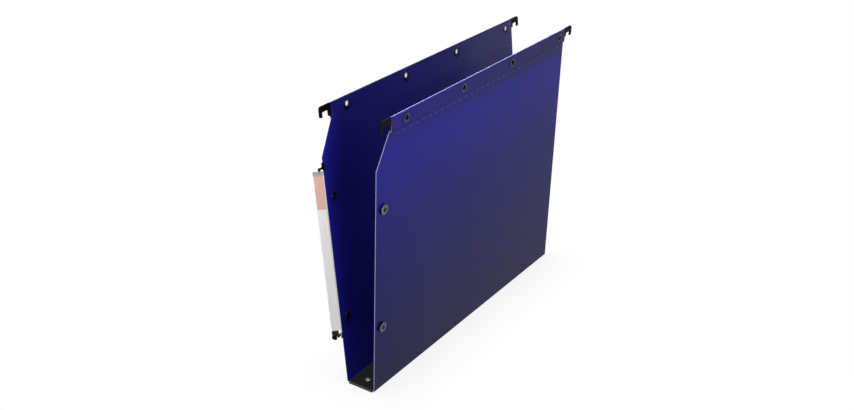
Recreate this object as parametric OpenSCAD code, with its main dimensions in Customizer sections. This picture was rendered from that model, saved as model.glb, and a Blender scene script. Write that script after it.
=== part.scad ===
// Suspension file for a side-hung filing cabinet. A plastic sheet is folded
// into two wings and a narrow bottom, stiffened by two boards. The top of each
// wing is folded over a steel rail that ends in two moulded hooks. Press studs
// join the file to its neighbours, and a swivelling holder carries the label.
// Millimetres. X runs from the label end to the far end, Y from the front wing
// to the rear wing and Z up. The origin is the middle of the base's underside.

/* [Pocket] */
// Distance between the two cabinet rails that the hooks hang on
rail_pitch = 330; // [280:1:420]
// Width over the two wings at the base
base_w = 32.4; // [22:0.1:80]
// Height of a wing from the base's underside to its folded top
wing_h = 278.8; // [250:0.1:340]
// Thickness of the plastic sheet
sheet_t = 0.8; // [0.5:0.1:1]
// Outward lean of the front wing as the file stands
front_lean = 2.1; // [0:0.1:8]
// Outward lean of the rear wing as the file stands
rear_lean = 4.9; // [0:0.1:10]
// Setback of a wing's top corner at the label end
near_setback = 19.1; // [8:0.1:40]
// Setback of a wing's top corner at the far end
far_setback = 2.7; // [0:0.1:12]
// Height of the sloping label-end corner, measured down from the top
slope_drop = 45.5; // [30:0.5:48]

/* [Base boards] */
// Thickness of each stiffening board
board_t = 1.0; // [0.6:0.1:2]
// Distance between a crease and the boards' long edges
board_inset = 2.35; // [1.2:0.05:5]
// Overhang of the boards past the ends of the sheet
board_overhang = 1.0; // [0:0.1:3]
// Gap between the base panel's edge and a wing's crease
crease_gap = 0.35; // [0.3:0.05:0.8]
// Distance of the two base rivets from the ends of the base
base_rivet_inset = 11.1; // [8:0.1:40]
// Radius of a base rivet's flange
base_flange_r = 2.9; // [2.6:0.1:4]
// Radius of a base rivet's barrel
base_barrel_r = 1.9; // [1.8:0.1:2.4]
// Radius of the hole through a base rivet
base_bore_r = 1.5; // [0.8:0.1:1.6]

/* [Top band] */
// Height of the flap folded down over the rail
flap_h = 14.4; // [14:0.1:18]
// Thickness of the steel rail
rail_t = 0.6; // [0.4:0.1:1.2]
// Height of the steel rail
rail_h = 11.5; // [8.8:0.1:11.8]
// Clearance on each side of the rail
rail_play = 0.05; // [0.02:0.01:0.1]
// Height of the tab at each end of the rail
tab_h = 2.6; // [1.5:0.1:3]
// Drop of the row of rivets below the top edge
rivet_drop = 7.3; // [6.5:0.1:8.5]
// Distance of the first rivet from a wing's label-end top corner
rivet_near = 22.1; // [10:0.1:40]
// Distance of the last rivet from a wing's far top corner
rivet_far = 12.4; // [8:0.1:30]
// Radius of a band rivet's flange
band_flange_r = 4.2; // [3.6:0.1:4.6]
// Radius of a band rivet's barrel
band_barrel_r = 3.0; // [2.9:0.1:3.3]
// Radius of the hole through a band rivet
band_bore_r = 2.7; // [1.5:0.1:2.7]
// Thickness of every rivet flange
flange_t = 0.5; // [0.3:0.05:0.6]

/* [Hooks] */
// Wall of a hook on each side of the rail's tab
hook_wall = 0.4; // [0.3:0.05:0.8]
// Width of the notch that sits over a cabinet rail
notch_w = 8.6; // [5:0.1:10]
// Width of the hook's leg beside the wing
leg_w = 3.6; // [3:0.1:8]
// Height of the leg beside the wing, on the label end's hooks
near_leg_h = 12.8; // [12.7:0.1:14]
// Height of the leg beside the wing, on the far end's hooks
far_leg_h = 10.2; // [9.5:0.1:14]
// Rise of the leg's foot from the wing to the notch
leg_slope = 1.3; // [0:0.1:3]
// Height of the hook's beam over the notch
beam_h = 5.6; // [5:0.1:7]
// Width of the hook's tip
tip_w = 3.2; // [3:0.1:8]
// Height of the hook's tip, measured down from the top
tip_h = 10.6; // [9.5:0.1:13]
// Rise of the tip's foot from the notch to the outside
tip_slope = 0.6; // [0:0.1:2.5]
// Radius of the hook's outer top corner
hook_corner_r = 2.6; // [1:0.1:3]

/* [Press studs] */
// Distance of the press studs from the label-end edge
stud_inset = 10.4; // [8:0.1:30]
// Height of the lower press stud above the base's underside
stud_low = 70.1; // [40:0.1:100]
// Height of the upper press stud above the base's underside
stud_high = 193.7; // [120:0.1:196]
// Radius of the socket and of the stud's foot
stud_r = 5.2; // [4.6:0.1:6]
// Height of the socket over the sheet
socket_h = 2.2; // [2:0.1:3]
// Radius of the socket's mouth
mouth_r = 2.2; // [2.2:0.05:2.4]
// Radial clearance between a stud's head and a socket's mouth
stud_clear = 0.1; // [0.05:0.01:0.15]
// Radius of the cap on the other face of the sheet
cap_r = 3.8; // [3:0.1:5]
// Height of that cap
cap_h = 0.9; // [0.6:0.1:1.2]
// Radius of the cap's shank
shank_r = 1.1; // [0.8:0.1:1.2]

/* [Label holder] */
// Drop from the foot of the wing's sloping corner to the profile's top
holder_drop = 11; // [7:0.1:60]
// Height of the profile's lower end above the base's underside
holder_low = 55; // [30:0.5:58]
// Width of the clear profile from its pivot to the side next to the wing
holder_near_w = 3.7; // [2.4:0.1:3.9]
// Width of the clear profile from its pivot to its free side
holder_far_w = 6.4; // [5:0.1:9]
// Wall of the clear profile
holder_wall = 0.5; // [0.4:0.05:0.6]
// Depth of the slot for the paper strip
slot_d = 0.7; // [0.5:0.05:0.8]
// Radius of the pivot tube's bore
pivot_bore_r = 0.8; // [0.7:0.05:0.9]
// Wall of the pivot tube
pivot_wall = 0.5; // [0.4:0.05:0.6]
// Radial clearance of the pivot pins
pivot_clear = 0.05; // [0.02:0.01:0.1]
// Distance of the pivot in front of the wing's label-end edge
pivot_out = 5.4; // [5.1:0.1:7]
// Distance of the pivot behind the middle of the rear wing's sheet
pivot_back = 0.4; // [0.3:0.1:1.5]
// Turn of the holder about its pivot as the file stands
holder_turn = 133; // [95:1:175]
// Length of the pivot pins
pin_len = 4; // [3:0.1:8]
// Thickness of the paper strip
strip_t = 0.3; // [0.15:0.05:0.35]
// Gap between the paper strip's top and the profile's top
strip_gap = 3.4; // [2:0.1:12]

/* [Holder clips] */
// Height of each clip's plate on the wing
clip_h = 5.6; // [5:0.1:9]
// Wall of the clips
clip_wall = 0.8; // [0.7:0.1:1]
// Reach of a clip over the wing's outer face
clip_reach = 4; // [3.2:0.1:4.2]
// Reach of the top clip over the wing's inner face
inner_leg = 1; // [0.6:0.1:3]
// Drop of the top clip's wrap below its plate
clip_skirt = 1.2; // [0:0.1:3]
// Thickness of the arm that carries the pivot
arm_t = 1.7; // [1.2:0.1:2.2]
// Width of the arm that carries the pivot
arm_w = 1.4; // [1:0.1:1.6]
// Running gap between an arm and the holder's end
arm_gap = 0.3; // [0.3:0.05:0.5]
// Height of the end cap's plug inside the slot
plug_h = 6.1; // [4:0.1:9]
// Width of that plug
plug_w = 6.4; // [3:0.1:6.6]
// Height of the end cap's foot below the profile
foot_h = 3.4; // [2.6:0.1:5]

/* [Hidden] */

// Overrun of every cut past the face that it opens
cut = 1;
// Play of a rivet barrel, a shank and the rail's ends in their seats
fit_play = 0.05;
// Facets of a large round and of a small one
round_fn = 64;
small_fn = 32;

// Hook sizes that follow the rail's tab, the beam and the notch
hook_t = rail_t + 2 * rail_play + 2 * hook_wall;
hook_reach = leg_w + notch_w + tip_w;
notch_fillet = 1.2;
tab_end_wall = 2.2;

// Wing lengths at the top and at the base
rail_to_corner = leg_w + notch_w / 2;
top_len = rail_pitch - 2 * rail_to_corner;
base_len = near_setback + top_len + far_setback;
near_x = -base_len / 2;
far_x = base_len / 2;
near_top_x = near_x + near_setback;
far_top_x = far_x - far_setback;

// Crease axes, at the middle of the sheet's thickness
crease_y = base_w / 2 - sheet_t / 2;
crease_z = board_t + sheet_t / 2;
board_half_w = base_w / 2 - board_inset;
panel_half_w = crease_y - sheet_t / 2 - crease_gap;
base_top_z = 2 * board_t + sheet_t;

// Heights above a wing's crease axis
wing_top = wing_h - crease_z;
flap_foot = wing_top - flap_h;
slope_foot = wing_top - slope_drop;
slope_head = wing_top - near_leg_h;
far_slope_head = wing_top - far_leg_h;
rivet_row = wing_top - rivet_drop;

// Folded band over the rail
band_gap = rail_t + 2 * rail_play;
band_t = 2 * sheet_t + band_gap;
fold_r = band_t / 2;
inner_y = -sheet_t / 2;
outer_y = sheet_t / 2;
rail_y = outer_y + rail_play;
rail_top = wing_top - fold_r - rail_play;
tab_foot = rail_top - tab_h;

// Rivet places along the top band, as shares of the span between end rivets
rivet_shares = [0, 0.33, 0.65, 1];
rivet_first_x = near_top_x + rivet_near;
rivet_last_x = far_top_x - rivet_far;

// Press stud sizes that follow the socket
socket_floor = 0.4;
socket_lip = 0.9;
spring_wire_r = 0.28;
spring_r = mouth_r + fit_play + spring_wire_r;
well_r = spring_r + spring_wire_r + fit_play;
well_top = socket_h - socket_lip;
stud_foot_t = 0.6;
stud_neck_h = 1.3;
stud_head_h = 1.0;
stud_nose_h = 0.4;
stud_head_r = mouth_r - stud_clear;
stud_neck_r = stud_head_r - 0.35 * sheet_t;
stud_nose_r = stud_neck_r - fit_play;
peen_r = shank_r + 0.6 * sheet_t;
peen_h = 0.3;
stud_heights = [stud_low - crease_z, stud_high - crease_z];
stud_x = near_x + stud_inset;

// Label holder section: +X to its free side and +Y towards its reader
tube_r = pivot_bore_r + pivot_wall;
slot_back = tube_r;
slot_front = slot_back + slot_d;
holder_back = slot_back - holder_wall;
holder_front = slot_front + holder_wall;
holder_t = holder_front - holder_back;
slot_from = 2 * holder_wall - holder_near_w;
slot_to = holder_far_w - holder_wall;
slot_w = slot_to - slot_from;

// Label holder heights above the rear crease axis
holder_foot = holder_low - crease_z;
holder_len = slope_foot - holder_drop - holder_foot;
holder_head = holder_foot + holder_len;
strip_play = 0.1;
strip_foot = holder_foot + plug_h;
strip_len = holder_len - plug_h - strip_gap;
strip_back = slot_back + (slot_d - strip_t) / 2;
plug_play = 0.02;

// Clip sizes that follow the pivot and the sheet
pin_r = pivot_bore_r - pivot_clear;
arm_boss_set = 0.1;
arm_boss_r = tube_r - arm_boss_set;
foot_clear = 0.3;
foot_from = arm_boss_r + foot_clear;
foot_set = 0.4;
foot_back = holder_back + foot_set;
foot_near_r = 0.8;
foot_far_r = 3.0;
pip_r = 0.9;
pip_inset = clip_reach / 2;
top_arm_foot = holder_head + arm_gap;
bottom_arm_head = holder_foot - arm_gap;
boss_dome_h = arm_boss_r / 2;

// Colours
sheet_blue = [0.16, 0.15, 0.42];
board_black = [0.09, 0.09, 0.09];
plastic_black = [0.07, 0.07, 0.07];
steel_grey = [0.62, 0.63, 0.66];
stud_grey = [0.42, 0.43, 0.45];
clear_grey = [0.86, 0.88, 0.88];
paper_white = [0.93, 0.92, 0.9];

// Frames: a wing's own frame has its origin on the crease axis, +Y outwards
// from the pocket and +Z up the wing
module on_rear_wing() {
    translate([0, crease_y, crease_z]) rotate([-rear_lean, 0, 0]) children();
}

module on_front_wing() {
    translate([0, -crease_y, crease_z]) rotate([front_lean, 0, 0]) mirror([0, 1, 0]) children();
}

// The pivot's frame has +X across the label and +Y towards its reader
module on_pivot() {
    on_rear_wing() translate([near_x - pivot_out, pivot_back, 0]) rotate([0, 0, holder_turn]) children();
}

// A round piece that stands on a face of the sheet and points outwards
module on_face(x, y, z) {
    translate([x, y, z]) rotate([-90, 0, 0]) children();
}

// Pocket: the sheet, from crease to folded top
module wing_section() {
    difference() {
        union() {
            circle(r = sheet_t / 2, $fn = small_fn);
            translate([inner_y, 0]) square([sheet_t, wing_top - fold_r]);
            translate([inner_y, flap_foot]) square([band_t, flap_h - fold_r]);
            translate([inner_y + fold_r, wing_top - fold_r]) circle(r = fold_r, $fn = small_fn);
        }
        translate([outer_y, flap_foot - cut]) square([band_gap, flap_h - fold_r + cut]);
        translate([inner_y + fold_r, wing_top - fold_r]) circle(r = band_gap / 2, $fn = small_fn);
    }
}

module wing_outline() {
    polygon([
        [near_x, -sheet_t], [far_x, -sheet_t], [far_x, 0], [far_top_x, far_slope_head],
        [far_top_x, wing_top + cut], [near_top_x, wing_top + cut],
        [near_top_x, slope_head], [near_x, slope_foot]
    ]);
}

module wing_sheet() {
    difference() {
        intersection() {
            translate([near_x, 0, 0]) rotate([90, 0, 90]) linear_extrude(base_len) wing_section();
            translate([0, band_t + cut, 0]) rotate([90, 0, 0])
                linear_extrude(2 * (band_t + cut)) wing_outline();
        }
        for (x = rivet_xs())
            on_face(x, inner_y - cut, rivet_row)
                cylinder(r = band_barrel_r + fit_play, h = band_t + 2 * cut, $fn = round_fn);
        for (z = stud_heights)
            on_face(stud_x, inner_y - cut, z)
                cylinder(r = shank_r + fit_play, h = sheet_t + 2 * cut, $fn = small_fn);
    }
}

function rivet_xs() = [for (s = rivet_shares) rivet_first_x + s * (rivet_last_x - rivet_first_x)];

module front_wing() {
    color(sheet_blue) on_front_wing() wing_sheet();
}

module rear_wing() {
    color(sheet_blue) on_rear_wing() difference() {
        wing_sheet();
        for (z = clip_pip_heights())
            on_face(pip_x(), inner_y - cut, z)
                cylinder(r = pip_r + fit_play, h = sheet_t + 2 * cut, $fn = small_fn);
    }
}

// Base: two boards with the sheet's bottom panel between them
module base_rivet_holes(r) {
    for (x = [near_x + base_rivet_inset, far_x - base_rivet_inset])
        translate([x, 0, -cut]) cylinder(r = r, h = base_top_z + 2 * cut, $fn = round_fn);
}

module base_panel(z, t, half_len, half_w) {
    difference() {
        translate([-half_len, -half_w, z]) cube([2 * half_len, 2 * half_w, t]);
        base_rivet_holes(base_barrel_r + fit_play);
    }
}

module base_board(z) {
    base_panel(z, board_t, base_len / 2 + board_overhang, board_half_w);
}

module base_outer_board() {
    color(board_black) difference() {
        base_board(0);
        for (x = [near_x + base_rivet_inset, far_x - base_rivet_inset])
            translate([x, 0, -cut])
                cylinder(r = base_flange_r + fit_play, h = cut + flange_t + fit_play, $fn = round_fn);
    }
}

module base_sheet() {
    color(sheet_blue) base_panel(board_t, sheet_t, base_len / 2, panel_half_w);
}

module base_inner_board() {
    color(board_black) base_board(board_t + sheet_t);
}

// Rivets: a hollow barrel with a rolled flange at each end
module rolled_flange(r, bore_r, t) {
    rotate_extrude($fn = round_fn) {
        translate([bore_r, 0]) square([r - bore_r - t / 2, t]);
        translate([r - t / 2, t / 2]) circle(r = t / 2, $fn = small_fn);
    }
}

module hollow_rivet(grip, flange_r, barrel_r, bore_r) {
    translate([0, 0, -flange_t]) rolled_flange(flange_r, bore_r, flange_t);
    rotate_extrude($fn = round_fn)
        translate([bore_r, -flange_t / 2]) square([barrel_r - bore_r, grip + flange_t]);
    translate([0, 0, grip]) rolled_flange(flange_r, bore_r, flange_t);
}

module base_rivets() {
    foot_z = flange_t + fit_play;
    color(steel_grey) for (x = [near_x + base_rivet_inset, far_x - base_rivet_inset])
        translate([x, 0, foot_z])
            hollow_rivet(base_top_z - foot_z, base_flange_r, base_barrel_r, base_bore_r);
}

module band_rivets() {
    color(stud_grey) for (x = rivet_xs())
        on_face(x, inner_y, rivet_row) hollow_rivet(band_t, band_flange_r, band_barrel_r, band_bore_r);
}

module front_band_rivets() {
    on_front_wing() band_rivets();
}

module rear_band_rivets() {
    on_rear_wing() band_rivets();
}

// Rail: a steel strip in the folded band, with a tab into each hook
module rail_strip() {
    tab_len = hook_reach - tab_end_wall;
    difference() {
        union() {
            translate([near_top_x + fit_play, rail_y, rail_top - rail_h])
                cube([top_len - 2 * fit_play, rail_t, rail_h]);
            translate([near_top_x - tab_len, rail_y, tab_foot])
                cube([top_len + 2 * tab_len, rail_t, tab_h]);
        }
        for (x = rivet_xs())
            on_face(x, rail_y - cut, rivet_row)
                cylinder(r = band_barrel_r + fit_play, h = rail_t + 2 * cut, $fn = round_fn);
    }
}

module front_rail() {
    color(steel_grey) on_front_wing() rail_strip();
}

module rear_rail() {
    color(steel_grey) on_rear_wing() rail_strip();
}

// Hook: leg, beam and tip in one plate, drawn outwards from the wing's end.
// A corner piece is what an arc leaves of a square corner that points upwards.
module corner_piece(x, z, r, side) {
    translate([x, z]) difference() {
        translate([side > 0 ? -cut : -r, -r]) square(r + cut);
        translate([side * r, -r]) circle(r = r, $fn = round_fn);
    }
}

module hook_outline(leg_h) {
    tip_from = hook_reach - tip_w;
    notch_foot = -max(leg_h, tip_h) - cut;
    difference() {
        polygon([
            [0, 0], [hook_reach, 0], [hook_reach, -tip_h + tip_slope], [tip_from, -tip_h],
            [leg_w, -leg_h + leg_slope], [0, -leg_h]
        ]);
        corner_piece(hook_reach, 0, hook_corner_r, -1);
        difference() {
            translate([leg_w, notch_foot]) square([notch_w, -beam_h - notch_foot]);
            corner_piece(leg_w, -beam_h, notch_fillet, 1);
            corner_piece(tip_from, -beam_h, notch_fillet, -1);
        }
    }
}

module hook_plate(leg_h) {
    slot_len = hook_reach - tab_end_wall + fit_play;
    difference() {
        translate([0, rail_y + (rail_t + hook_t) / 2, wing_top]) rotate([90, 0, 0])
            linear_extrude(hook_t) hook_outline(leg_h);
        translate([-cut, rail_y - rail_play, tab_foot - rail_play])
            cube([slot_len + cut, band_gap, tab_h + 2 * rail_play]);
    }
}

module far_hook() {
    color(plastic_black) translate([far_top_x, 0, 0]) hook_plate(far_leg_h);
}

module near_hook() {
    color(plastic_black) translate([near_top_x, 0, 0]) mirror([1, 0, 0]) hook_plate(near_leg_h);
}

module front_near_hook() {
    on_front_wing() near_hook();
}

module front_far_hook() {
    on_front_wing() far_hook();
}

module rear_near_hook() {
    on_rear_wing() near_hook();
}

module rear_far_hook() {
    on_rear_wing() far_hook();
}

// Press studs: sockets on the front wing, studs on the rear wing
module domed_rim(r, bore_r, h) {
    edge_r = min(h, r - bore_r) / 2;
    translate([bore_r, 0]) square([r - bore_r, h - edge_r]);
    translate([bore_r, 0]) square([r - bore_r - edge_r, h]);
    translate([r - edge_r, h - edge_r]) circle(r = edge_r, $fn = small_fn);
}

module socket() {
    difference() {
        rotate_extrude($fn = round_fn) domed_rim(stud_r, mouth_r, socket_h);
        translate([0, 0, socket_floor]) cylinder(r = well_r, h = well_top - socket_floor, $fn = round_fn);
    }
    rotate_extrude($fn = round_fn) translate([shank_r + fit_play, 0])
        square([mouth_r - shank_r, socket_floor]);
}

module front_stud_sockets() {
    color(stud_grey) on_front_wing() for (z = stud_heights)
        on_face(stud_x, outer_y, z) socket();
}

module front_socket_springs() {
    color(steel_grey) on_front_wing() for (z = stud_heights)
        on_face(stud_x, outer_y, z)
            translate([0, 0, (socket_floor + well_top) / 2])
                rotate_extrude($fn = round_fn) translate([spring_r, 0])
                    circle(r = spring_wire_r, $fn = small_fn);
}

// Cap: a low dome, a shank through the sheet and a peened end
module capped_shank(grip) {
    translate([0, 0, -cap_h]) rotate_extrude($fn = round_fn) {
        translate([0, cap_h / 2]) square([cap_r, cap_h / 2]);
        intersection() {
            translate([0, cap_h / 2]) scale([cap_r, cap_h / 2]) circle(r = 1, $fn = round_fn);
            square([cap_r, cap_h]);
        }
    }
    cylinder(r = shank_r, h = grip, $fn = small_fn);
    translate([0, 0, grip]) cylinder(r = peen_r, h = peen_h, $fn = small_fn);
}

module front_socket_caps() {
    color(stud_grey) on_front_wing() for (z = stud_heights)
        on_face(stud_x, inner_y, z) capped_shank(sheet_t + socket_floor);
}

module stud() {
    head_z = stud_foot_t + stud_neck_h;
    rotate_extrude($fn = round_fn) difference() {
        union() {
            domed_rim(stud_r, 0, stud_foot_t);
            square([stud_neck_r, head_z]);
            polygon([
                [0, head_z], [stud_neck_r, head_z - stud_nose_h], [stud_head_r, head_z],
                [stud_head_r, head_z + stud_head_h], [stud_nose_r, head_z + stud_head_h + stud_nose_h],
                [0, head_z + stud_head_h + stud_nose_h]
            ]);
        }
        translate([-cut, -cut]) square([cut + shank_r + fit_play, cut + stud_foot_t]);
        translate([-cut, stud_foot_t - fit_play]) square([cut + peen_r + fit_play, peen_h + 2 * fit_play]);
    }
}

module rear_studs() {
    color(stud_grey) on_rear_wing() for (z = stud_heights)
        on_face(stud_x, outer_y, z) stud();
}

module rear_stud_caps() {
    color(stud_grey) on_rear_wing() for (z = stud_heights)
        on_face(stud_x, inner_y, z) capped_shank(sheet_t + stud_foot_t);
}

// Label holder: a clear profile with a paper slot in front of a pivot tube
module holder_section() {
    nose_r = holder_t / 2;
    difference() {
        union() {
            translate([-holder_near_w + nose_r, holder_back])
                square([holder_near_w + holder_far_w - nose_r, holder_t]);
            translate([-holder_near_w + nose_r, holder_back + nose_r]) circle(r = nose_r, $fn = small_fn);
            circle(r = tube_r, $fn = round_fn);
        }
        translate([slot_from, slot_back]) square([slot_w, slot_d]);
        circle(r = pivot_bore_r, $fn = round_fn);
    }
}

module label_holder() {
    color(clear_grey) on_pivot() translate([0, 0, holder_foot]) linear_extrude(holder_len) holder_section();
}

// Paper strip: it stands on the end cap's plug and slides out at the top
module label_strip() {
    color(paper_white) on_pivot()
        translate([slot_from + strip_play, strip_back, strip_foot])
            cube([slot_w - 2 * strip_play, strip_t, strip_len]);
}

// End cap: a plug in the slot's lower end and a foot with a small round corner
// beside the pivot and a large one on the free side
module cap_foot_outline() {
    w = holder_far_w - foot_from;
    far_r = min(foot_far_r, w - foot_near_r, foot_h);
    difference() {
        translate([foot_from, -foot_h]) square([w, foot_h]);
        mirror([0, 1]) {
            corner_piece(foot_from, foot_h, foot_near_r, 1);
            corner_piece(holder_far_w, foot_h, far_r, -1);
        }
    }
}

module label_end_cap() {
    color(plastic_black) on_pivot() translate([0, 0, holder_foot]) {
        translate([slot_to - plug_w, slot_back + plug_play, 0])
            cube([plug_w - plug_play, slot_d - 2 * plug_play, plug_h]);
        translate([0, holder_front, 0]) rotate([90, 0, 0])
            linear_extrude(holder_front - foot_back) cap_foot_outline();
    }
}

// Clips: a plate on the wing's outer face, held by a pip through the sheet,
// with an arm that carries a pin for the pivot tube. The top one also wraps
// round the wing's edge.
function pip_x() = near_x + pip_inset;
function clip_pip_heights() = [top_arm_foot + clip_h / 2, bottom_arm_head - clip_h / 2];

module clip_plate(foot) {
    translate([near_x - clip_wall, outer_y, foot]) cube([clip_wall + clip_reach, clip_wall, clip_h]);
    on_face(pip_x(), inner_y, foot + clip_h / 2) cylinder(r = pip_r, h = sheet_t, $fn = small_fn);
}

module clip_wrap(foot) {
    wrap_h = clip_h + clip_skirt;
    translate([near_x - clip_wall, inner_y, foot - clip_skirt]) cube([clip_wall, sheet_t, wrap_h]);
    translate([near_x - clip_wall, inner_y - clip_wall, foot - clip_skirt])
        cube([clip_wall + inner_leg, clip_wall, wrap_h]);
}

module clip_arm(foot) {
    root_x = near_x - clip_wall / 2;
    root_y = outer_y + clip_wall / 2;
    run = norm([near_x - pivot_out - root_x, pivot_back - root_y]);
    lie = atan2(pivot_back - root_y, near_x - pivot_out - root_x);
    translate([root_x, root_y, foot]) rotate([0, 0, lie])
        translate([0, -arm_w / 2, 0]) cube([run, arm_w, arm_t]);
}

module at_pivot(z) {
    translate([near_x - pivot_out, pivot_back, z]) children();
}

// A boss at the arm's end, domed on the side that faces away from the holder
module arm_boss(foot, domed_down) {
    at_pivot(foot + arm_t / 2) mirror([0, 0, domed_down ? 1 : 0]) rotate_extrude($fn = round_fn) {
        translate([0, -arm_t / 2]) square([arm_boss_r, arm_t]);
        translate([0, arm_t / 2]) intersection() {
            scale([arm_boss_r, boss_dome_h]) circle(r = 1, $fn = round_fn);
            translate([0, -boss_dome_h]) square([arm_boss_r, 2 * boss_dome_h]);
        }
    }
}

module label_top_clip() {
    color(plastic_black) on_rear_wing() {
        clip_plate(top_arm_foot);
        clip_wrap(top_arm_foot);
        clip_arm(top_arm_foot);
        arm_boss(top_arm_foot, false);
        at_pivot(top_arm_foot - arm_gap - pin_len)
            cylinder(r = pin_r, h = pin_len + arm_gap + arm_t / 2, $fn = round_fn);
    }
}

module label_bottom_clip() {
    arm_foot = bottom_arm_head - arm_t;
    color(plastic_black) on_rear_wing() {
        clip_plate(bottom_arm_head - clip_h);
        clip_arm(arm_foot);
        arm_boss(arm_foot, true);
        at_pivot(arm_foot + arm_t / 2)
            cylinder(r = pin_r, h = arm_t / 2 + arm_gap + pin_len, $fn = round_fn);
    }
}

base_outer_board();
base_sheet();
base_inner_board();
base_rivets();
front_wing();
front_rail();
front_near_hook();
front_far_hook();
front_band_rivets();
front_stud_sockets();
front_socket_springs();
front_socket_caps();
rear_wing();
rear_rail();
rear_near_hook();
rear_far_hook();
rear_band_rivets();
rear_studs();
rear_stud_caps();
label_holder();
label_end_cap();
label_strip();
label_top_clip();
label_bottom_clip();
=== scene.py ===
import math

import bmesh
import bpy
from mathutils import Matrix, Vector


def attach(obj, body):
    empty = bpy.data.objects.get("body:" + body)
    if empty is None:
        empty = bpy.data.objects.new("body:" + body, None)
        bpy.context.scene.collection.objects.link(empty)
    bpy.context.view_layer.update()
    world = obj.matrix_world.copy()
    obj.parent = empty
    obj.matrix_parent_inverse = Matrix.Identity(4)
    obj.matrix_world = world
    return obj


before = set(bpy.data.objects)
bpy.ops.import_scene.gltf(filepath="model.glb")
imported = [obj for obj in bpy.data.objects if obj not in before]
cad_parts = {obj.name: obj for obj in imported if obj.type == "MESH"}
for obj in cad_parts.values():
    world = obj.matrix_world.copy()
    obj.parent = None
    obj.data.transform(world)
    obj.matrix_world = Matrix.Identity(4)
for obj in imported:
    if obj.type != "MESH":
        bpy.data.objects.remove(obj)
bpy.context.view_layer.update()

# Camera. It stands to the left of the label end, above the file, and looks
# down along the front wing. The shift is half a pixel of the frame.
FRAME_WIDTH = 854
HALF_PIXEL = 0.5 / FRAME_WIDTH
camera = bpy.data.objects.new("camera", bpy.data.cameras.new("camera"))
bpy.context.scene.collection.objects.link(camera)
camera.location = (-0.85643, -0.54889, 0.62110)
camera.rotation_euler = (math.radians(64.11), 0, math.radians(-55.62))
camera.data.sensor_width = 36
camera.data.lens = 46.41
camera.data.shift_x = -HALF_PIXEL
camera.data.shift_y = HALF_PIXEL
camera.data.clip_end = 20
bpy.context.scene.camera = camera
bpy.context.scene.view_settings.view_transform = "Standard"


# Stiffening boards. Two strips of black board hold the bottom of the sheet flat
# between them. They are cut from a large board, so their edges are paler than
# their pressed faces, and the edges' grey is partly a painted highlight.
class Shade:
    """A socket's value, so that sums on it can be written in Python."""

    def __init__(self, bench, socket):
        self.bench, self.socket = bench, socket

    def __abs__(self):
        return self.bench.maths("ABSOLUTE", self)

    def __add__(self, other):
        return self.bench.maths("ADD", self, other)

    def __sub__(self, other):
        return self.bench.maths("SUBTRACT", self, other)

    def __rsub__(self, other):
        return self.bench.maths("SUBTRACT", other, self)

    def __mul__(self, other):
        return self.bench.maths("MULTIPLY", self, other)

    __radd__ = __add__
    __rmul__ = __mul__


class Bench:
    """A node tree being put together. A grain is the size of a noise's spots in
    metres, then its detail and its stretch along the axes where it has them."""

    def __init__(self, tree):
        self.tree = tree

    def add(self, kind, settings, sockets, output=0):
        """One node: its type, its settings, what its sockets hold, and the output wanted."""
        node = self.tree.nodes.new(kind)
        for key, value in settings.items():
            setattr(node, key, value)
        for key, value in sockets.items():
            self.feed(node.inputs[key], value)
        return None if output is None else Shade(self, node.outputs[output])

    def feed(self, socket, value):
        if isinstance(value, Shade):
            self.tree.links.new(value.socket, socket)
        else:
            socket.default_value = value

    def maths(self, operation, *values):
        return self.add("ShaderNodeMath", {"operation": operation}, dict(enumerate(values)))

    def mix(self, first, second, share):
        return self.add("ShaderNodeMix", {"data_type": "RGBA"}, {0: share, 6: first, 7: second}, 2)

    def noise(self, size, detail=3.0, stretch=(1, 1, 1)):
        """Noise from 0 to 1."""
        place = self.add("ShaderNodeTexCoord", {}, {}, "Object")
        place = self.add("ShaderNodeVectorMath", {"operation": "MULTIPLY"}, {0: place, 1: stretch})
        return self.add("ShaderNodeTexNoise", {}, {"Vector": place, "Scale": 1 / size, "Detail": detail})

    def mottle(self, first, second, *grain):
        """A colour that wanders between two."""
        return self.mix(first, second, self.noise(*grain))

    def patch(self, first, second, edge, *grain):
        """One colour with patches of another, whose soft edge lies between two values of the noise."""
        return self.mix(first, second, self.step(self.noise(*grain), *edge))

    def across(self, axis):
        """The size of the surface normal's part along an axis of the piece, 0 to 1."""
        facing = self.add("ShaderNodeTexCoord", {}, {}, "Normal")
        return abs(self.add("ShaderNodeSeparateXYZ", {}, {0: facing}, axis))

    def step(self, value, low, high):
        """0 below low and 1 above high, with a smooth rise between."""
        return self.add("ShaderNodeMapRange", {"interpolation_type": "SMOOTHSTEP"},
                        {0: value, 1: low, 2: high})


def finish(name, colour, roughness, bump, metallic=0.0, **more):
    """A material: its roughness is a least value, a spread and a grain, and its
    bump a depth and a grain. The rest names other inputs of the shader."""
    material = bpy.data.materials.new(name)
    material.use_nodes = True
    bench = Bench(material.node_tree)
    least, spread, *gloss_grain = roughness
    depth, *bump_grain = bump
    relief = {"Strength": 1.0, "Distance": depth, "Height": bench.noise(*bump_grain)}
    parts = {"Base Color": colour(bench), "Roughness": least + spread * bench.noise(*gloss_grain),
             "Metallic": metallic, "Normal": bench.add("ShaderNodeBump", {}, relief)}
    for key, value in more.items():
        parts[key.replace("_", " ")] = value(bench) if callable(value) else value
    shader = material.node_tree.nodes["Principled BSDF"]
    for key, value in parts.items():
        bench.feed(shader.inputs[key], value)
    return material


def paint(material, *nodes):
    """Gives CAD nodes a material."""
    for name in nodes:
        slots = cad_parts[name].data.materials
        slots.clear()
        slots.append(material)


BOARD_FACE = (0.0050, 0.0052, 0.0050, 1)
BOARD_FLECK = (0.0085, 0.0088, 0.0083, 1)
BOARD_EDGE_AND_HIGHLIGHT = (0.075, 0.077, 0.077, 1)
SIDEWAYS = (0.5, 0.9)


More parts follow.
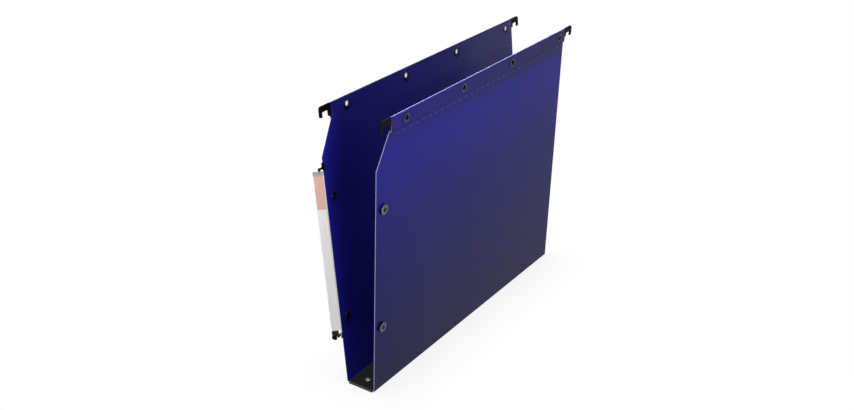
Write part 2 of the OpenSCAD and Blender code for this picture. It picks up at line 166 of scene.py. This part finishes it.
def board_colour(bench):
    face = bench.mottle(BOARD_FACE, BOARD_FLECK, 0.0008, 4)
    return bench.mix(face, BOARD_EDGE_AND_HIGHLIGHT, bench.step(bench.across("X") + bench.across("Y"), *SIDEWAYS))


pressed_board = finish("pressed_board", board_colour, roughness=(0.5, 0.15, 0.002),
                       bump=(0.00004, 0.0006, 5), Specular_IOR_Level=0.07)
paint(pressed_board, "base_outer_board", "base_inner_board")


# Blue sheet. The pocket is one sheet of satin polypropylene, creased twice along
# its bottom and folded over at both tops. Its faces have a fine grain. Pairs of
# blues are for the label end and the far end, and lengths are in metres.
FRONT, REAR = -1, 1
LEAN = {FRONT: math.radians(2.1), REAR: math.radians(4.9)}
NEAR_X, FAR_X = -0.168, 0.168
CREASE_Y = 0.0158
CREASE_Z = 0.0014
SHEET_HALF = 0.0004
SHEET_BLUE = (0.0080, 0.0060, 0.190, 1)
CLOUD_BLUE = (0.0065, 0.0045, 0.155, 1)
CLOUD_SHARE = 0.5
# The rear wing's blue turns greyer towards the far end: a painted sheen.
REAR_PAINTED_SHEEN_BLUE = ((0.0140, 0.0130, 0.200, 1), (0.0500, 0.0490, 0.235, 1))
# A brighter blue along the rear wing's label end is painted light.
REAR_RIM_PAINTED_LIGHT = (0.0150, 0.0135, 0.290, 1)
REAR_RIM_LIGHT_WIDTH = 0.040
# Painted shade darkens the front wing's top band, most at the far end; the rear's keeps its face's blue.
BAND_PAINTED_BLUE = {FRONT: ((0.0065, 0.0050, 0.150, 1), (0.0050, 0.0045, 0.080, 1)), REAR: REAR_PAINTED_SHEEN_BLUE}
BAND_PAINTED_FADE = (0.2455, 0.2570)
# A thin dark line along the foot of the folded flap is a painted shadow.
FLAP_PAINTED_SHADOW = (0.0020, 0.0018, 0.040, 1)
FLAP_FOOT = 0.2630
FLAP_LINE_TOP = 0.2638
FLAP_LINE_SOFT = 0.0002
# The cut ends are partly paler for being cut and partly painted light: a highlight on bottom and front,
# shade on the rear.
BOTTOM_CUT_AND_HIGHLIGHT = (0.17, 0.165, 0.30, 1)
WING_CUT_AND_PAINTED_LIGHT = {FRONT: (0.22, 0.21, 0.40, 1), REAR: (0.020, 0.018, 0.130, 1)}
CUT_FACING = (0.6, 0.9)
# The top fold is a painted highlight on the front wing, partly a paler crease, and painted shade on the
# rear wing.
FOLD_PAINTED_LIGHT = {FRONT: (0.30, 0.29, 0.62, 1), REAR: (0.005, 0.005, 0.055, 1)}
FOLD_HEIGHT = {FRONT: (0.2769, 0.2773), REAR: (0.2758, 0.2766)}
FOLD_DEPTH = (0.0008, 0.0016)


def clouded(bench, blue):
    """Blue with wide, faint clouds of a deeper one."""
    return bench.mix(blue, CLOUD_BLUE, CLOUD_SHARE * bench.noise(0.05, 2))


def cut_ends(bench, face, cut):
    """A panel's colour, with another on the cut edges at its two ends: partly the paler cut, partly painted
    light.
    """
    return bench.mix(face, cut, bench.step(bench.across("X"), *CUT_FACING))


def on_wing_face(bench, side):
    """A surface point's place along a wing, out from its middle plane and up from its crease."""
    place = bench.add("ShaderNodeTexCoord", {}, {}, "Object")
    along, across, up = [bench.add("ShaderNodeSeparateXYZ", {}, {0: place}, axis) for axis in "XYZ"]
    out, rise = abs(across) - CREASE_Y, up - CREASE_Z
    depth = out * math.cos(LEAN[side]) - rise * math.sin(LEAN[side])
    height = out * math.sin(LEAN[side]) + rise * math.cos(LEAN[side])
    return along, depth, height


def bottom_colour(bench):
    return cut_ends(bench, clouded(bench, SHEET_BLUE), BOTTOM_CUT_AND_HIGHLIGHT)


def wing_colour(bench, side):
    """A wing's blue, with painted shade on its band, a painted shadow along the flap's foot, and painted
    light on its cut ends and fold.
    """
    along, depth, height = on_wing_face(bench, side)
    far = bench.step(along, NEAR_X, FAR_X)
    if side == REAR:
        # The rear wing's face, with its painted sheen towards the far end.
        face = clouded(bench, bench.mix(*REAR_PAINTED_SHEEN_BLUE, far))
        # Painted light along the rear wing's label end.
        face = bench.mix(REAR_RIM_PAINTED_LIGHT, face, bench.step(along, NEAR_X, NEAR_X + REAR_RIM_LIGHT_WIDTH))
    else:
        face = clouded(bench, SHEET_BLUE)
    # Painted shade over the top band.
    face = bench.mix(face, bench.mix(*BAND_PAINTED_BLUE[side], far), bench.step(height, *BAND_PAINTED_FADE))
    line = bench.step(height, FLAP_FOOT - FLAP_LINE_SOFT, FLAP_FOOT) * bench.step(depth, 0, SHEET_HALF)
    line = line * (1 - bench.step(height, FLAP_LINE_TOP, FLAP_LINE_TOP + FLAP_LINE_SOFT))
    face = cut_ends(bench, bench.mix(face, FLAP_PAINTED_SHADOW, line), WING_CUT_AND_PAINTED_LIGHT[side])
    fold = bench.step(height, *FOLD_HEIGHT[side]) * (1 - bench.step(depth, *FOLD_DEPTH))
    return bench.mix(face, FOLD_PAINTED_LIGHT[side], fold)


def polypropylene(name, colour):
    return finish(name, colour, roughness=(0.27, 0.06, 0.01), bump=(0.000012, 0.0004, 2),
                  Specular_IOR_Level=0.15)


bottom_sheet = polypropylene("blue_polypropylene", bottom_colour)
paint(bottom_sheet, "base_sheet")
paint(polypropylene("blue_polypropylene_front", lambda bench: wing_colour(bench, FRONT)), "front_wing")
paint(polypropylene("blue_polypropylene_rear", lambda bench: wing_colour(bench, REAR)), "rear_wing")


# Crease webs. Along each crease the pressed sheet is thinner, and bends like a
# hinge. Each web is a strip that joins the bottom panel to the wing's round foot.
WINGS = {FRONT: "front", REAR: "rear"}
WEB_HALF = 0.00026
WEB_WAIST = 0.8 * WEB_HALF
WEB_LONG = 0.00095
WEB_STOP = 0.0002
WEB_OUTLINE = ((WEB_LONG, WEB_HALF), (WEB_LONG / 2, WEB_WAIST), (WEB_STOP, WEB_HALF))


def piece(name, made):
    """An object from a finished bmesh."""
    mesh = bpy.data.meshes.new(name)
    made.to_mesh(mesh)
    made.free()
    new = bpy.data.objects.new(name, mesh)
    bpy.context.scene.collection.objects.link(new)
    return new


def loft(name, *skins):
    """A piece of closed skins, each drawn over a row of rings of points and capped at both ends."""
    made = bmesh.new()
    for skin in skins:
        rings = [[made.verts.new(point) for point in ring] for ring in skin]
        for first, second in zip(rings, rings[1:]):
            for i in range(len(first)):
                j = (i + 1) % len(first)
                made.faces.new((first[i], first[j], second[j], second[i]))
        made.faces.new(rings[0][::-1])
        made.faces.new(rings[-1])
    bmesh.ops.recalc_face_normals(made, faces=made.faces)
    return piece(name, made)


for side, wing in WINGS.items():
    under = [(side * (CREASE_Y - back), CREASE_Z - half) for back, half in WEB_OUTLINE]
    over = [(side * (CREASE_Y - back), CREASE_Z + half) for back, half in reversed(WEB_OUTLINE)]
    web = loft(wing + "_crease_web", [[(x, y, z) for y, z in under + over] for x in (NEAR_X, FAR_X)])
    web.data.materials.append(bottom_sheet)
    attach(web, "base")


# Bottom rivets. Two hollow steel rivets clamp the boards and the sheet together.
# They are nickel-plated and bright, with small dull patches.
NICKEL_BRIGHT = (0.62, 0.63, 0.64, 1)
NICKEL_DULL = (0.47, 0.48, 0.50, 1)
PATCH_EDGE = (0.42, 0.66)


def metal(name, colour, least_roughness):
    """Metal with fine marks in its gloss and on its face."""
    return finish(name, colour, roughness=(least_roughness, 0.14, 0.0009, 4),
                  bump=(0.00001, 0.0007, 3), metallic=1.0)


def plated(name, bright, dull, least_roughness):
    """Plate whose metal has small dull patches."""
    return metal(name, lambda bench: bench.patch(bright, dull, PATCH_EDGE, 0.0015, 5), least_roughness)


bright_nickel = plated("bright_nickel", NICKEL_BRIGHT, NICKEL_DULL, least_roughness=0.20)
paint(bright_nickel, "base_rivets")


# Score marks. A row of short raised dashes is pressed into the outer face of each
# wing below the folded band, where the plastic turns paler.
MARK_PITCH = 0.010
MARK_LONG = 0.0030
MARK_HIGH = 0.0010
MARK_NIP = 0.3
MARK_SINK = 0.00005
MARK_PROUD = 0.00007
MARK_WALL = 0.3 * MARK_PROUD
MARK_TOP = 0.86
MARK_ROW = 0.2589
MARK_FIRST = NEAR_X + 0.0304
MARK_COUNT = 30
STRAIN_DEEP = (0.014, 0.013, 0.130, 1)
STRAIN_PALE = (0.052, 0.053, 0.170, 1)


def on_wing(side, x, out, up):
    """A point from along the crease, out of the pocket and up the wing, in metres."""
    lean = LEAN[side]
    across = CREASE_Y + out * math.cos(lean) + up * math.sin(lean)
    return x, side * across, CREASE_Z - out * math.sin(lean) + up * math.cos(lean)


def score_mark(side, middle):
    """The rings of a low pad with nipped corners, from inside the sheet up a wall to a smaller top."""
    rings = []
    for share, proud in ((1.0, -MARK_SINK), (1.0, MARK_WALL), (MARK_TOP, MARK_PROUD)):
        long, high = share * MARK_LONG / 2, share * MARK_HIGH / 2
        nip = MARK_NIP * high
        ring = [(-long + nip, -high), (long - nip, -high), (long, -high + nip), (long, high - nip),
                (long - nip, high), (-long + nip, high), (-long, high - nip), (-long, -high + nip)]
        rings.append([on_wing(side, middle + dx, SHEET_HALF + proud, MARK_ROW + dz) for dx, dz in ring])
    return rings


strained_sheet = finish("strained_polypropylene",
                        lambda bench: bench.mottle(STRAIN_DEEP, STRAIN_PALE, 0.004, 4),
                        roughness=(0.45, 0.1, 0.001), bump=(0.00001, 0.0005, 2))
for side, wing in WINGS.items():
    marks = loft(wing + "_score_marks",
                 *[score_mark(side, MARK_FIRST + i * MARK_PITCH) for i in range(MARK_COUNT)])
    marks.data.materials.append(strained_sheet)
    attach(marks, wing + "_wing")


# Rails. A rolled steel strip lies in each folded band and ends in a tab inside
# each hook. It is bare steel, with the fine lines that rolling leaves along it.
STEEL_DEEP = (0.40, 0.41, 0.42, 1)
STEEL_PALE = (0.52, 0.53, 0.54, 1)
rolled_steel = finish("rolled_steel", lambda bench: bench.mottle(STEEL_DEEP, STEEL_PALE, 0.003, 3),
                      roughness=(0.3, 0.2, 0.0006, 3, (0.05, 1, 1)),
                      bump=(0.00001, 0.0004, 2, (0.03, 1, 1)), metallic=1.0)
paint(rolled_steel, "front_rail", "rear_rail")


# Hooks. Each is one moulding in black plastic, pushed on the rail's tab. The
# mould leaves a fine matt texture, and the rubbed places are a little paler.
MOULDED_BLACK = (0.0022, 0.0023, 0.0018, 1)
RUBBED_BLACK = (0.0055, 0.0056, 0.0044, 1)
RUBBED_EDGE = (0.55, 0.8)
black_moulding = finish("black_moulding",
                        lambda bench: bench.patch(MOULDED_BLACK, RUBBED_BLACK, RUBBED_EDGE, 0.003, 4),
                        roughness=(0.42, 0.12, 0.0012, 3), bump=(0.000015, 0.0003, 3),
                        Specular_IOR_Level=0.05)
paint(black_moulding, "front_near_hook", "front_far_hook", "rear_near_hook", "rear_far_hook")


# Band rivets. Four hollow rivets go through each folded band and its rail. The
# front wing's are of dull nickel with painted shade on their rims and in their
# bores, and the rear wing's are nearly black, with painted light in each bore's outer mouth.
RIVET_GREY = (0.13, 0.133, 0.145, 1)
RIVET_DULL = (0.055, 0.056, 0.064, 1)
RIVET_RIM_PAINTED_SHADE = (0.016, 0.016, 0.020, 1)
RIM_FACING = (0.93, 0.99)
SET_DULL = (0.040, 0.041, 0.046, 1)
SET_DARK = (0.014, 0.014, 0.016, 1)
BORE_PAINTED_LIGHT = (0.90, 0.91, 0.92, 1)
WALL_FACING = (0.25, 0.4)
BORE_MOUTH = (0.0003, 0.0005)


def rimmed_colour(bench):
    """Dull plate, with painted shade on its rolled rim and in its bore."""
    worn = bench.patch(RIVET_GREY, RIVET_DULL, PATCH_EDGE, 0.0015, 5)
    return bench.mix(RIVET_RIM_PAINTED_SHADE, worn, bench.step(bench.across("Y"), *RIM_FACING))


def set_colour(bench):
    """Near black, with painted light, near white, on the outer mouth of the bore, where light shows through
    the hole.
    """
    wall = 1 - bench.step(bench.across("Y"), *WALL_FACING)
    mouth = bench.step(on_wing_face(bench, REAR)[1], *BORE_MOUTH)
    return bench.mix(bench.mottle(SET_DULL, SET_DARK, 0.0015, 5), BORE_PAINTED_LIGHT, wall * mouth)


paint(metal("dull_nickel", rimmed_colour, least_roughness=0.34), "front_band_rivets")
paint(metal("set_nickel", set_colour, least_roughness=0.34), "rear_band_rivets")


# Press studs. The front wing carries two sockets with a ring spring in each, and
# the rear wing two studs. Caps on the other face of the sheet hold them on. All
# are nickel-plated, and only the springs are still bright. The near black in the
# sockets' wells and round their rims is painted shade.
SOCKET_GREY = (0.19, 0.193, 0.21, 1)
SOCKET_DULL = (0.060, 0.061, 0.068, 1)
SOCKET_PAINTED_SHADE = (0.014, 0.014, 0.017, 1)
SOCKET_FACING = (0.45, 0.85)
SOCKET_RISE = (0.0012, 0.0018)
STUD_GREY = (0.14, 0.143, 0.155, 1)
STUD_DULL = (0.040, 0.041, 0.046, 1)
CAP_GREY = (0.090, 0.092, 0.100, 1)
CAP_DULL = (0.024, 0.024, 0.027, 1)


def socket_colour(bench):
    """Grey on the face, with painted shade, near black, in the well, down its mouth and round the rim."""
    flat = bench.step(bench.across("Y"), *SOCKET_FACING)
    raised = bench.step(on_wing_face(bench, FRONT)[1], *SOCKET_RISE)
    worn = bench.patch(SOCKET_GREY, SOCKET_DULL, PATCH_EDGE, 0.0018, 5)
    return bench.mix(SOCKET_PAINTED_SHADE, worn, flat * raised)


paint(metal("socket_nickel", socket_colour, least_roughness=0.36), "front_stud_sockets")
paint(plated("stud_nickel", STUD_GREY, STUD_DULL, least_roughness=0.40), "rear_studs")
paint(bright_nickel, "front_socket_springs")
cap_nickel = plated("cap_nickel", CAP_GREY, CAP_DULL, least_roughness=0.28)
paint(cap_nickel, "front_socket_caps", "rear_stud_caps")


# Label clips and end cap. The clips are black mouldings, each held by a pip
# through the rear wing, and the cap plugs the lower end of the holder.
paint(black_moulding, "label_top_clip", "label_bottom_clip", "label_end_cap")


# Label holder. It is a clear extruded profile with a slot for the paper and a
# tube for the clips' pins. The die leaves faint lines along it.
PIVOT_X = NEAR_X - 0.0054
PIVOT_OUT = 0.0004
TURN = math.radians(133)
SLOT_SIDE = (-0.0029, -0.0023)
PLUG_HEAD = (0.0598, 0.0606)
PAPER_HEAD = (0.2168, 0.2176)
HAZE = 0.02
HAZE_OVER_PAPER = 0.02
HAZE_AT_END = 0.43
HAZE_BESIDE_SLOT = 0.28
CLEAR_PALE = (0.34, 0.35, 0.35, 1)
CLEAR_DEEP = (0.24, 0.25, 0.26, 1)


def haze(bench):
    """The walls are hazy at the open end and beside the slot, and only slightly over plug and paper."""
    along, depth, height = on_wing_face(bench, REAR)
    across = (along - PIVOT_X) * math.cos(TURN) + (depth - PIVOT_OUT) * math.sin(TURN)
    bare = 1 - bench.step(across, *SLOT_SIDE)
    open_end = bench.step(height, *PAPER_HEAD)
    papered = bench.step(height, *PLUG_HEAD)
    return (HAZE + HAZE_OVER_PAPER * papered + HAZE_AT_END * open_end
            + HAZE_BESIDE_SLOT * bare * (1 - open_end))


clear_plastic = finish("clear_plastic", lambda bench: bench.mottle(CLEAR_PALE, CLEAR_DEEP, 0.002, 3),
                       roughness=(0.12, 0.1, 0.0005, 2, (1, 1, 0.03)),
                       bump=(0.00002, 0.0008, 2, (1, 1, 0.02)),
                       Alpha=haze, IOR=1.49, Specular_IOR_Level=0.2)
paint(clear_plastic, "label_holder")


# Paper strip. White paper fills the slot, with a plain band of colour printed at
# its top, which is a thin slip of its own here.
STRIP_FACE = 0.0018
BAND_FROM, BAND_TO = -0.00252, 0.00572
BAND_FOOT, BAND_HEAD = 0.1842, 0.2174
INK = 0.00003
PAPER_PALE = (0.66, 0.66, 0.65, 1)
PAPER_DEEP = (0.60, 0.60, 0.59, 1)
PRINT_PALE = (0.57, 0.34, 0.272, 1)
PRINT_DEEP = (0.51, 0.305, 0.245, 1)


def in_holder(across, proud, up):
    """A point from its place across the label, towards the reader and up the wing."""
    return on_wing(REAR, PIVOT_X + across * math.cos(TURN) - proud * math.sin(TURN),
                   PIVOT_OUT + across * math.sin(TURN) + proud * math.cos(TURN), up)


def paper(name, pale, deep):
    return finish(name, lambda bench: bench.mottle(pale, deep, 0.0012, 5),
                  roughness=(0.8, 0.1, 0.001), bump=(0.00002, 0.0004, 4))


paint(paper("white_paper", PAPER_PALE, PAPER_DEEP), "label_strip")
slip = ((BAND_FROM, STRIP_FACE - INK), (BAND_TO, STRIP_FACE - INK),
        (BAND_TO, STRIP_FACE + INK), (BAND_FROM, STRIP_FACE + INK))
band = loft("label_colour_band",
            [[in_holder(*corner, up) for corner in slip] for up in (BAND_FOOT, BAND_HEAD)])
band.data.materials.append(paper("printed_paper", PRINT_PALE, PRINT_DEEP))
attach(band, "label_strip")


# Studio. The floor and the air are white to the camera and behind clear pieces,
# pale in a gloss, and dim as light on the object, which comes from soft lamps.
FLOOR_Z = -0.0003
FLOOR_REACH = 4
FLOOR_MATT = (0.05, 0.05, 0.05, 1)
SHADOW_REACH = 0.06
SHADOW = (0.80, 0.80, 0.82, 1)
WHITE = (1, 1, 1, 1)
REFLECTED = (0.65, 0.65, 0.65, 1)
AIR = 0.12


def ray(bench, kind):
    """1 for light of one kind, and 0 for the rest."""
    return bench.add("ShaderNodeLightPath", {}, {}, kind)


def shown(bench, unseen, seen):
    """One shader for light on its way, and another for what the camera, a gloss or a clear piece sees."""
    looks = ray(bench, "Is Camera Ray") + ray(bench, "Is Glossy Ray") + ray(bench, "Is Transmission Ray")
    share = bench.maths("MINIMUM", looks, 1.0)
    return bench.add("ShaderNodeMixShader", {}, {0: share, 1: unseen, 2: seen})


floor_mesh = bmesh.new()
bmesh.ops.create_grid(floor_mesh, x_segments=8, y_segments=8, size=FLOOR_REACH)
floor = piece("floor", floor_mesh)
floor.location.z = FLOOR_Z
floor_finish = bpy.data.materials.new("white_floor")
floor_finish.use_nodes = True
floor_finish.node_tree.nodes.clear()
bench = Bench(floor_finish.node_tree)
# The object's shadow on the floor is painted: the white darkens where ambient occlusion finds the object
# close.
shelter = bench.add("ShaderNodeAmbientOcclusion", {"samples": 3}, {"Distance": SHADOW_REACH}, "AO")
white = bench.mix(bench.mix(SHADOW, WHITE, shelter), REFLECTED, ray(bench, "Is Glossy Ray"))
glow = bench.add("ShaderNodeEmission", {}, {"Color": white, "Strength": 1.0})
matt = bench.add("ShaderNodeBsdfDiffuse", {}, {"Color": FLOOR_MATT})
bench.add("ShaderNodeOutputMaterial", {}, {0: shown(bench, matt, glow)}, None)
floor.data.materials.append(floor_finish)

world = bpy.data.worlds.new("air")
bpy.context.scene.world = world
world.use_nodes = True
world.node_tree.nodes.clear()
bench = Bench(world.node_tree)
white = bench.mix(WHITE, REFLECTED, ray(bench, "Is Glossy Ray"))
glow = bench.add("ShaderNodeBackground", {}, {"Color": white, "Strength": 1.0})
dim = bench.add("ShaderNodeBackground", {}, {"Color": WHITE, "Strength": AIR})
bench.add("ShaderNodeOutputWorld", {}, {0: shown(bench, dim, glow)}, None)


def softbox(name, place, aim, size, watts, fan=180, in_gloss=True):
    """A soft lamp: its fan is the angle that its light keeps to."""
    lamp = bpy.data.lights.new(name, "AREA")
    lamp.shape = "RECTANGLE"
    lamp.size, lamp.size_y = size
    lamp.spread = math.radians(fan)
    lamp.energy = watts
    holder = bpy.data.objects.new(name, lamp)
    bpy.context.scene.collection.objects.link(holder)
    holder.location = place
    holder.rotation_euler = (Vector(aim) - Vector(place)).to_track_quat("-Z", "Y").to_euler()
    holder.visible_glossy = in_gloss


softbox("near_strip", (-0.20, -0.65, 0.245), (-0.20, 0, 0.245), (0.45, 0.03), watts=0.278, fan=50)
softbox("far_strip", (0.24, -0.65, 0.215), (0.24, 0, 0.215), (0.45, 0.03), watts=0.168, fan=50)
softbox("mid_strip", (0, -0.65, 0.25), (0, 0, 0.25), (0.8, 0.03), watts=0.088, fan=16)
softbox("pocket_softbox", (0, -0.005, 0.80), (0, 0.03, 0.15), (0.2, 0.03), watts=4.6)
softbox("near_pocket_softbox", (-0.35, -0.005, 0.70), (-0.1, 0.03, 0.15), (0.2, 0.03), watts=0.7)
softbox("back_strip", (0, 0.80, 0.35), (0, 0, 0.16), (0.9, 0.3), watts=4.0)
softbox("far_end_softbox", (1.1, 0.15, 0.35), (0, 0, 0.14), (0.5, 0.5), watts=1.0)
# Seen from the far end, the wings would burn out in the gloss of this narrow lamp.
softbox("near_end_softbox", (-0.90, -0.006, 0.20), (-0.17, 0, 0.12), (0.02, 0.3), watts=5.6, in_gloss=False)
